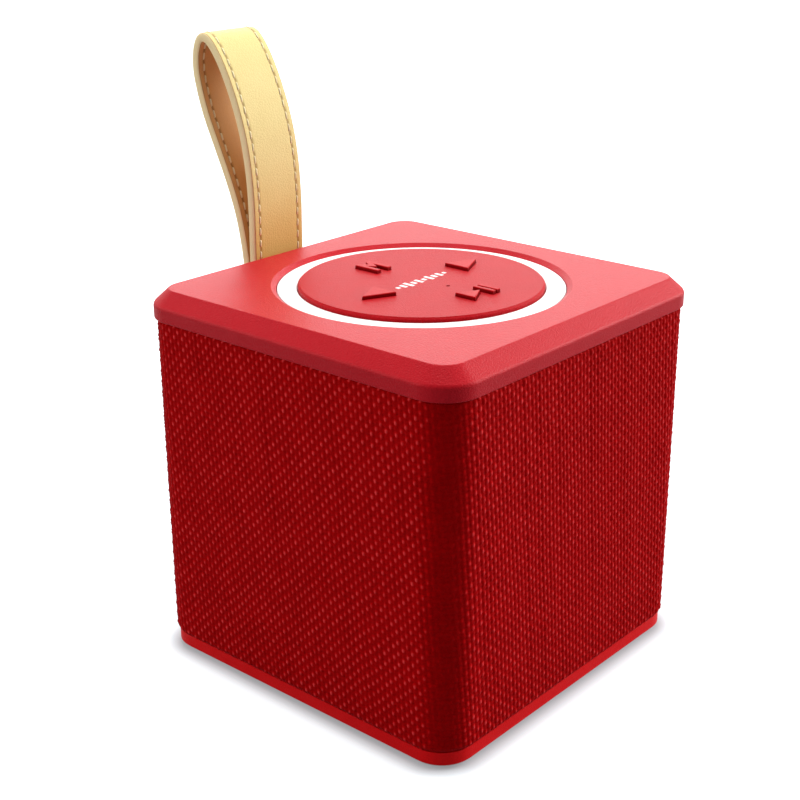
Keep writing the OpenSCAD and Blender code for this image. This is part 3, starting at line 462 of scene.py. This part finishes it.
def cloth_surface():
    """The relief of a plain weave on a rounded square: the height over the cloth's middle is the higher of
    the upright and the level yarn, each a half round whose centre rides up and down as a cosine with a
    period of two yarns. On the four bends the upright yarns are flattened. Gives the rows' heights and
    the girth; each column's anchor and outward direction; and for each point the relief, the strength of
    the painted highlight on an upright yarn there (left out on the bends as painted shade), its crossing's
    own shade, and how much the bend pulls."""
    n_u, n_v = columns * per_column, rows * per_row + 1
    inner = cloth_half - cloth_corner
    side, bend = 2 * inner, cloth_corner * math.pi / 2
    girth = 4 * (side + bend)
    s = (np.arange(n_u) / n_u * girth)[None]
    z = np.linspace(cloth_low, cloth_high, n_v)[:, None]
    k = np.floor(s / (side + bend))
    rest = s - k * (side + bend)
    on_bend = np.minimum(rest / bend, 1) * math.pi / 2
    on_side = np.maximum(rest - bend, 0)
    start = k * math.pi / 2
    angle = start + on_bend
    anchor_x = inner * (np.cos(start) - np.sin(start)) - on_side * np.cos(start)
    anchor_y = inner * (np.sin(start) + np.cos(start)) - on_side * np.sin(start)
    out_x, out_y = np.cos(angle), np.sin(angle)

    up = (z - cloth_low) / (cloth_high - cloth_low)

    def wave(yarns, around, upward, shift=0.0):
        """A drift of the yarns, so many periods round the girth and over the height."""
        return yarns * np.sin(2 * math.pi * (s / girth * around + up * upward) + shift)

    wander = wave(0.16, 11, 1.3) + wave(0.12, 23, -2.1, shift=1.0)
    u = s / girth * columns + lean * up + wander * up * (1 - up) * 2
    v = up * rows + wave(0.10, 17, 0.7) + wave(0.08, 41, 0)
    warp_no, weft_no = np.round(u).astype(int) % columns, np.clip(np.round(v), 0, rows).astype(int)
    warp_fat = rng.normal(1, 0.10, columns)[warp_no]
    weft_fat = rng.normal(1, 0.10, rows + 1)[weft_no]
    knot_shade = rng.normal(0, 1, (rows + 1, columns))[weft_no, warp_no]
    across, over = u - np.round(u), v - np.round(v)
    ride_up = np.cos(math.pi * (v + np.round(u)))
    ride_level = -np.cos(math.pi * (u + np.round(v)))
    # yarn heights in millimetres: half a yarn, plus or minus the ride
    upright = (0.24 + 0.23 * ride_up) * warp_fat * (1 - (2 * across) ** 2) ** 1.3
    level = (0.20 + 0.11 * ride_level) * weft_fat * (1 - (2 * over) ** 2) - 0.06
    bend_pull = 0.9 * np.minimum(1, 1.3 * np.sin(2 * on_bend) ** 2)
    upright = upright * (1 - 0.8 * bend_pull)
    height = (np.maximum(upright, level) - 0.42) * MM
    share = np.clip((upright - level) * 6 + 0.5, 0, 1)
    # a painted highlight on the top of each upright yarn, left out on the bends as painted shade
    painted_yarn_highlight = np.maximum(ride_up, 0) * np.exp(-(across / 0.27) ** 2) * share * (1 - bend_pull)

    # the cloth turns in at both of its edges
    tuck = 0.75 * MM * np.clip(1 - (z - cloth_low) / (1.1 * MM), 0, 1) ** 2
    tuck = tuck + 0.5 * MM * np.clip(1 - (cloth_high - z) / (0.5 * MM), 0, 1) ** 2
    return z, girth, (anchor_x, anchor_y, out_x, out_y), (height - tuck, painted_yarn_highlight, knot_shade, bend_pull)


z, girth, (anchor_x, anchor_y, out_x, out_y), relief = cloth_surface()
height, painted_yarn_highlight, knot_shade, bend_pull = relief


def window_gap(x, z, node, grow, corner):
    """The distance to the rim of a rounded opening round a CAD part, less than zero inside it."""
    low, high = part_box(node)
    wide, tall = (high.x - low.x) / 2 + grow, (high.z - low.z) / 2 + grow
    dx = np.abs(x - (low.x + high.x) / 2) - wide + corner
    dz = np.abs(z - (low.z + high.z) / 2) - tall + corner
    return np.hypot(np.maximum(dx, 0), np.maximum(dz, 0)) + np.minimum(np.maximum(dx, dz), 0) - corner


reach = cloth_corner + height
flat_x = anchor_x + reach * out_x
# At the back the cloth dips round the port panel and round the strap's slot, and is cut away inside them.
gap = np.where(out_y > 0.9, np.minimum(
    window_gap(flat_x, z, "port_panel", 0.15 * MM, 2.1 * MM),
    window_gap(flat_x, z, "strap_ends", 0.25 * MM, 0.6 * MM)), 1.0)
reach = reach - 0.9 * MM * np.clip(1 - gap / (0.5 * MM), 0, 1.2) ** 2
cloth_points = np.stack([anchor_x + reach * out_x, anchor_y + reach * out_y,
                         np.broadcast_to(z, reach.shape)], 2)
along_s = np.roll(cloth_points, -1, 1) - np.roll(cloth_points, 1, 1)
along_z = np.gradient(cloth_points, axis=0)
cloth_normals = np.cross(along_s, along_z)
cloth_normals /= np.linalg.norm(cloth_normals, axis=2)[:, :, None]

weave = Look("red_weave", Sheen_Weight=0.12, Sheen_Roughness=0.3, Sheen_Tint=(1.0, 0.3, 0.34, 1),
             Specular_IOR_Level=0.06, Specular_Tint=(1.0, 0.25, 0.25, 1))
yarn_highlight_paint, own_shade, painted_bend_shade = (weave.attribute(name) for name in ("yarn_highlight", "yarn_shade", "bend_pull"))
fibre = weave.noise(0.11, 3.0, stretch=(1, 1, 0.22))
blotch = weave.noise(7.0, 3.0)
# the painted highlight lightens the yarn tops, and painted shade darkens the four bends
brightness = 0.22 + yarn_highlight_paint * (0.50 + 0.40 * own_shade) + 0.3 * (fibre - 0.5) \
    + 0.25 * (blotch - 0.5) - 0.10 * painted_bend_shade
weave.feed(
    Base_Color=weave.node("ShaderNodeValToRGB", {"stops": [
        (0.0, srgb(136, 0, 2)), (1.0, srgb(240, 66, 68)), (0.4, srgb(190, 2, 6))]}, {"Fac": brightness}),
    Roughness=0.72 - 0.22 * yarn_highlight_paint + 0.1 * fibre,
    Normal=weave.bump(fibre, 0.05))



def carry(piece, label, values):
    """Stores one number at each point of a piece, for its material."""
    piece.data.attributes.new(label, "FLOAT", "POINT").data.foreach_set(
        "value", np.asarray(values, np.float32).ravel())


n_rows, n_columns = height.shape
cut = np.linspace(0, n_columns, panels + 1).astype(int)
for p, (first, last) in enumerate(zip(cut[:-1], cut[1:])):
    pick = np.arange(first, last + 1) % n_columns
    faces = quads(n_rows, len(pick), close_columns=False)
    hidden = gap[:, pick].ravel()[faces].max(1) < -0.1 * MM
    faces = faces[~hidden]
    used, again = np.unique(faces, return_inverse=True)
    points = cloth_points[:, pick].reshape(-1, 3)[used]
    panel = skin(f"cloth_panel_{p + 1}", points, again.reshape(faces.shape), weave.material,
                 cloth_normals[:, pick].reshape(-1, 3)[used])
    for label, values in (("yarn_highlight", painted_yarn_highlight), ("yarn_shade", 0.5 + 0.5 * np.tanh(knot_shade)),
                          ("bend_pull", bend_pull)):
        carry(panel, label, np.broadcast_to(values, height.shape)[:, pick].ravel()[used])
    flat = np.stack(np.broadcast_arrays(np.arange(len(pick))[None] / (len(pick) - 1),
                                        np.linspace(0, 1, n_rows)[:, None]), 2).reshape(-1, 2)[used]
    panel.data.uv_layers.new(name="OFBake").data.foreach_set(
        "uv", flat[again.reshape(-1)].astype(np.float32).ravel())
    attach(panel, "root")
    girth / panels
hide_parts("cloth_sleeve")

# --- Leather strap ----------------------------------------------------------------------------------
# Two tan leathers are glued back to back and stitched along both edges with waxed cream thread. The cut
# edges are painted cream. The strap is folded into a loop, and both ends go through the slot at the back.
def smooth_path(points, per=8):
    """A Catmull-Rom curve through the points: on each span the usual cubic of four neighbours."""
    p = np.array(points, float)
    p = np.concatenate([[2 * p[0] - p[1]], p, [2 * p[-1] - p[-2]]])
    t = np.linspace(0, 1, per, endpoint=False)[None, :, None]
    a, b, c, d = (p[k:len(p) - 3 + k][:, None] for k in range(4))
    curve = 0.5 * (2 * b + (c - a) * t + (2 * a - 5 * b + 4 * c - d) * t ** 2
                   + (3 * b - a - 3 * c + d) * t ** 3)
    return np.concatenate([curve.reshape(-1, 2), p[-2:-1]])


def evenly(path, step):
    """The same path at even spacing."""
    length = np.concatenate([[0], np.cumsum(np.linalg.norm(np.diff(path, axis=0), axis=1))])
    at = np.linspace(0, length[-1], int(round(length[-1] / step)) + 1)
    return np.stack([np.interp(at, length, path[:, k]) for k in range(2)], 1), length[-1]


swing = next(j for j in frame["joints"] if j["name"] == "strap_swing")
pivot = np.array(swing["pos_m"])[1:]
strap_low, strap_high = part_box("strap_loop")
strap_width, leather = strap_high.x - strap_low.x, 2.1 * MM
# [back, up] from the hinge line in millimetres, from one end over the top to the other end
loop = [(-1.05, 4.5), (-1.05, 7), (-1.15, 15), (-1.2, 23.5), (-0.6, 32), (1, 40.2), (3.9, 48.3), (7.3, 54.8),
        (10.5, 58.6), (12.9, 58.9), (14.4, 56.3), (14.8, 52.4), (14.1, 48.2), (12.2, 42.2), (9, 35.2),
        (5.8, 28.2), (3.3, 21.5), (1.9, 15.5), (1.05, 9.5), (1.05, 7), (1.05, 4.5)]
fold, turn_in = np.array([-2.3, 2.3]), np.linspace(0, math.pi / 2, 9)[:, None]


def quarter(radius):
    """The bend from the slot up to the loop: an arc about the fold's centre."""
    return fold + radius * np.concatenate([np.sin(turn_in), -np.cos(turn_in)], 1)


end_at, near_r, far_r = -7.5, 1.25, 3.35  # how far in the ends reach, and the radii of their bends
near = np.concatenate([[(end_at, fold[1] - near_r)], quarter(near_r)])
far = np.concatenate([[(end_at, fold[1] - far_r)], quarter(far_r)])
middle = MM * smooth_path(np.concatenate([near, loop, far[::-1]])) + pivot
middle, strap_length = evenly(middle, 0.6 * MM)


ahead = np.gradient(middle, axis=0)
ahead /= np.linalg.norm(ahead, axis=1)[:, None]
left = np.stack([-ahead[:, 1], ahead[:, 0]], 1)
half_w, half_t = strap_width / 2, leather / 2
seam_x, groove_w, groove_d = half_w - 1.8 * MM, 0.3025 * MM, 0.16 * MM
swell, belly = 0.05 * MM, 0.45 * MM  # how far the faces and the painted edges bulge
edge_x, edge_y = half_w - belly, half_t - swell
across = np.linspace(-edge_x, edge_x, 73)
dip = np.exp(-((np.abs(across) - seam_x) / groove_w) ** 2)
upper = np.stack([across, edge_y - groove_d * dip + swell * (1 - (across / half_w) ** 4)], 1)
lower = upper[::-1] * [1, -1]
edge_turn = np.linspace(-math.pi / 2, math.pi / 2, 9)[1:-1]
edge_right = np.stack([edge_x + belly * np.cos(edge_turn) ** 0.8, edge_y * np.sin(edge_turn)], 1)
section = np.concatenate([edge_right, upper[::-1], -edge_right, lower[::-1]])
on_edge, on_face = np.ones(len(edge_turn)), np.ones(len(across))
painted = np.concatenate([on_edge, 0 * on_face, on_edge, 0 * on_face])
inside = np.concatenate([0.5 * on_edge, 0 * on_face, 0.5 * on_edge, on_face])
in_groove = np.concatenate([0 * on_edge, dip, 0 * on_edge, dip])
# Stitches sit in the grooves, one to each pitch; the grooves carry painted shade, darkest where the thread
# goes in.
pitch, thread = 2.65 * MM, 0.22 * MM
count = int(strap_length / pitch)
hole = 0.35 + 0.65 * np.cos(math.pi * count * np.linspace(0, 1, len(middle))) ** 4
groove_shade = hole[:, None] * in_groove
strap_points = np.concatenate([
    np.broadcast_to(section[None, :, :1], (len(middle), len(section), 1)),
    middle[:, None] + section[None, :, 1:] * left[:, None]], 2)

tan = Look("tan_leather", Specular_IOR_Level=0.3)
edge_paint, inner_side, painted_groove_shade = (tan.attribute(name) for name in (
    "edge_paint", "inner_side", "groove_shade"))
tone, pores = tan.noise(9.0, 4.0), tan.noise(0.35, 4.0)
grain = tan.node("ShaderNodeTexVoronoi", {"feature": "DISTANCE_TO_EDGE"}, {
    "Vector": tan.place(), "Scale": 1.5, "Randomness": 1.0}, out="Distance")
crease = (grain * 6.0).clipped()
# Toward the slot the leather is darker and deeper in colour: partly painted shade, partly the leather's own
# tone.
slot_darkening = tan.smooth_range(tan.height(), 104.0, 78.0, 0.0, 0.75)  # 104 to 78 mm up, darker toward the slot
face_colour = tan.mix(slot_darkening, tan.mix(
    tone * 0.6 + pores * 0.4, srgb(232, 210, 134), srgb(248, 230, 160)), srgb(206, 168, 72))
inner_colour = tan.mix(tone * 0.5 + pores * 0.5, srgb(214, 164, 104), srgb(236, 190, 126))
leather_colour = tan.mix(painted_groove_shade * 0.85, tan.mix(inner_side, face_colour, inner_colour),
                         srgb(136, 92, 40))
tan.feed(
    Base_Color=tan.mix(edge_paint * (1 - edge_paint) * 3.0, tan.mix(
        edge_paint, leather_colour, srgb(252, 228, 174)), srgb(176, 112, 48)),
    Roughness=0.46 + 0.18 * pores,
    Normal=tan.bump(crease * 0.5 + pores * 0.5, 0.05))
strap_points = np.concatenate([
    np.broadcast_to(strap_points[:1].mean(1, keepdims=True), strap_points[:1].shape), strap_points,
    np.broadcast_to(strap_points[-1:].mean(1, keepdims=True), strap_points[-1:].shape)])
strap_grid = strap_points.shape[:2]
strap = skin("leather_strap", strap_points, quads(*strap_grid), tan.material)
for label, values in (("edge_paint", painted), ("inner_side", inside),
                      ("groove_shade", np.pad(groove_shade, ((1, 1), (0, 0)), "edge"))):
    carry(strap, label, np.broadcast_to(values, strap_grid))
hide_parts("strap_loop", "strap_ends")

# Each stitch is a short twisted thread that lies in its groove and dips into the leather at both ends.
ring_of = np.linspace(0, 2 * math.pi, 8, endpoint=False)
run = np.linspace(-1, 1, 7)  # from one end of a stitch to the other
stitch_at = (np.arange(count) + 0.5) * strap_length / count
steps_at = np.linspace(0, strap_length, len(middle))
t_all = stitch_at[:, None] + run * 1.08 * MM
mid_yz, left_yz = (np.stack([np.interp(t_all, steps_at, line[:, k]) for k in range(2)], 2)
                   for line in (middle, left))
radius = (thread * np.sqrt(1 - run ** 4))[:, None]
lift = (half_t - groove_d + 0.10 * MM - 0.42 * MM * run ** 6)[:, None]
per_stitch = len(run) * len(ring_of)
stitches, stitch_faces = [], []
for line, (x0, side) in enumerate((x0, side) for x0 in (-seam_x, seam_x) for side in (1, -1)):
    x = x0 + side * 0.10 * MM * run[:, None] + radius * np.cos(ring_of)
    y = side * (lift + radius * np.sin(ring_of))
    yz = mid_yz[:, :, None] + left_yz[:, :, None] * y[..., None]
    tubes = np.concatenate([np.broadcast_to(x[..., None], (*yz.shape[:3], 1)), yz], 3)
    stitches.append(tubes.reshape(-1, 3))
    one = quads(len(run), len(ring_of))[:, ::side]
    stitch_faces.append((one + per_stitch * (line * count + np.arange(count)[:, None, None])).reshape(-1, 4))
waxed = Look("waxed_thread", Base_Color=(0.9, 0.8, 0.62, 1))
twist = waxed.noise(0.25, 2.0, stretch=(1, 2.2, 2.2))
waxed.feed(Base_Color=waxed.mix(twist, srgb(240, 220, 160), srgb(255, 248, 214)),
           Roughness=0.5 + 0.2 * twist, Normal=waxed.bump(twist, 0.08))
thread_piece = skin("strap_stitches", np.concatenate(stitches), np.concatenate(stitch_faces), waxed.material)
for piece in (strap, thread_piece):
    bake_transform(piece)

# --- Back panel, sockets and screws -----------------------------------------------------------------
# A small red panel at the back carries the slider, the status light and two sockets. Two countersunk
# screws hold it to the housing.
red_panel = moulded("red_panel", srgb(190, 14, 28), roughness=0.46)
for part in ("port_panel", "power_slider"):
    finish(part, red_panel)


def metal(name, colour, roughness, brushed=(1, 1, 1)):
    """Bright metal with fine tool marks along one axis."""
    look = Look(name, Metallic=1.0)
    marks = look.noise(0.09, 3.0, stretch=brushed)
    return look.feed(Base_Color=look.mix(look.noise(2.5, 3.0), tuple(c * 0.86 for c in colour), colour),
                     Roughness=roughness + 0.15 * marks, Normal=look.bump(marks, 0.006)).material


steel = metal("zinc_steel", (0.62, 0.62, 0.63), 0.28, (1, 1, 0.1))
nickel = metal("nickel_plate", (0.70, 0.68, 0.62), 0.20, (0.1, 1, 1))
copper = metal("copper_wire", (0.80, 0.42, 0.24), 0.30)
black = moulded("black_plastic", (0.022, 0.022, 0.024), roughness=0.5)
white = moulded("white_plastic", (0.80, 0.80, 0.78), roughness=0.38)
board = moulded("green_board", (0.012, 0.13, 0.05), roughness=0.35, grain=0.003)
paper = moulded("black_paper", (0.03, 0.03, 0.032), roughness=0.85, grain=0.05)
amber = moulded("spider_cloth", (0.42, 0.27, 0.10), roughness=0.9, grain=0.05)
ferrite = moulded("ferrite", (0.05, 0.05, 0.055), roughness=0.6, grain=0.02)
wrap = moulded("cell_wrap", (0.04, 0.16, 0.42), roughness=0.3, grain=0.003)
insulation = moulded("wire_insulation", (0.45, 0.02, 0.02), roughness=0.4, grain=0.003)
by_slot = {"steel": steel, "nickel": nickel, "copper": copper, "black_plastic": black, "board_green": board,
           "white_plastic": white, "flex_white": white, "cone_paper": paper, "spider_cloth": amber,
           "ferrite": ferrite, "cell_wrap": wrap, "wire_red": insulation, "dark_rubber": rubber.material,
           "leather_root": tan.material}
for node, piece in nodes.items():
    name = piece.data.materials[0].name if piece.data.materials else ""
    if name in by_slot:
        finish(node, by_slot[name])

# --- Floor, light and camera ------------------------------------------------------------------------
# The speaker stands on a white sweep between two soft lights, seen from its front left corner.
floor_look = Look("white_sweep", Base_Color=(0.40, 0.42, 0.44, 1), Roughness=0.9, Specular_IOR_Level=0.0)
seen, seen_through = floor_look.outputs("ShaderNodeLightPath", "Is Camera Ray", "Is Transmission Ray")
where = floor_look.node("ShaderNodeSeparateXYZ", {}, {
    0: floor_look.node("ShaderNodeTexCoord", {}, {}, out="Object")}, out=None)
base_half, base_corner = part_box("base")[1].x, 7.6 * MM
# the distance from the base's outline, a rounded square: the hypotenuse of what lies past its flat sides
beyond_x, beyond_y = ((Wire(floor_look, where.outputs[axis]).maths("ABSOLUTE")
                       - (base_half - base_corner)).maths("MAXIMUM", 0.0) for axis in "XY")
from_base = (beyond_x * beyond_x + beyond_y * beyond_y) ** 0.5 - base_corner
# The glow dims within a few millimetres of the base, so the floor shows a painted contact shadow, tinted
# blue by the glow's colour; far off the glow rises so the sweep stays evenly white.
painted_contact_shadow = floor_look.smooth_range(from_base, -0.5 * MM, 4.2 * MM, 0.27, 0.84)
far_away = floor_look.smooth_range(from_base, 6.0 * MM, 340.0 * MM, 0.0, 0.35)
glow = floor_look.node("ShaderNodeEmission", {}, {
    "Color": (0.93, 0.975, 1, 1), "Strength": (seen + seen_through) * (painted_contact_shadow + far_away)})
both = floor_look.node("ShaderNodeAddShader", {}, {0: floor_look.shader, 1: glow})
floor_look.tree.links.new(both.socket, floor_look.end.inputs["Surface"])
floor_half = 3.0
floor = skin("floor", [(x * floor_half, y * floor_half, 0) for x, y in ((-1, -1), (1, -1), (1, 1), (-1, 1))],
             np.array([[0, 1, 2, 3]]), floor_look.material)

world = bpy.data.worlds.new("studio")
bpy.context.scene.world = world
studio = Nodes(world)
seen, mirrored, seen_through = studio.outputs(
    "ShaderNodeLightPath", "Is Camera Ray", "Is Glossy Ray", "Is Transmission Ray")
level = studio.node("ShaderNodeMapRange", {}, {
    "Value": seen + mirrored + seen_through, "To Min": 0.16, "To Max": 1.0})
backdrop = studio.node("ShaderNodeBackground", {}, {"Color": (1, 1, 1, 1), "Strength": level})
studio.node("ShaderNodeOutputWorld", {}, {"Surface": backdrop}, out=None)


middle_height = 40 * MM


def softbox(name, azimuth, elevation, distance, size, power):
    """A square lamp that faces the speaker's middle from a direction given in degrees."""
    a, e = math.radians(azimuth), math.radians(elevation)
    lamp = bpy.data.lights.new(name, "AREA")
    lamp.shape, lamp.size, lamp.energy = "SQUARE", size, power
    box = bpy.data.objects.new(name, lamp)
    back = np.array([math.cos(e) * math.cos(a), math.cos(e) * math.sin(a), math.sin(e)])
    box.location = back * distance + [0, 0, middle_height]
    box.rotation_euler = Vector(back).to_track_quat("Z", "Y").to_euler()
    bpy.context.scene.collection.objects.link(box)


for name, *numbers in (("back_box", 41, 32, 1.0, 0.9, 4.2), ("top_box", 41, 84, 0.9, 0.6, 6.4),
                       ("right_box", -35, 25, 0.9, 0.5, 6.8), ("left_box", 140, 25, 0.9, 0.5, 2.9)):
    softbox(name, *numbers)

camera = bpy.data.cameras.new("camera")
camera.lens, camera.sensor_width = 65.33, 36
camera.clip_start = 0.01
view = bpy.data.objects.new("camera", camera)
azimuth, elevation, roll = math.radians(-48.95), math.radians(20.95), math.radians(-0.30)
width = cap_half * 2
look_back = np.array([math.sin(azimuth) * math.cos(elevation), -math.cos(azimuth) * math.cos(elevation),
                      math.sin(elevation)])
level_right = np.array([math.cos(azimuth), math.sin(azimuth), 0])
level_up = np.cross(look_back, level_right)
right = level_right * math.cos(roll) + level_up * math.sin(roll)
upward = np.cross(look_back, right)
# the camera looks past the speaker's middle; all four distances are in widths of the cap
aim_height, away, aside, above = 0.519, 3.8044, -0.056, 0.1428
spot = width * (np.array([0, 0, aim_height]) + look_back * away + right * aside + upward * above)
turned = np.column_stack([right, upward, look_back, spot])
view.matrix_world = Matrix([*turned.tolist(), [0, 0, 0, 1]])
bpy.context.scene.collection.objects.link(view)
bpy.context.scene.camera = view
bpy.context.scene.view_settings.view_transform = "Standard"
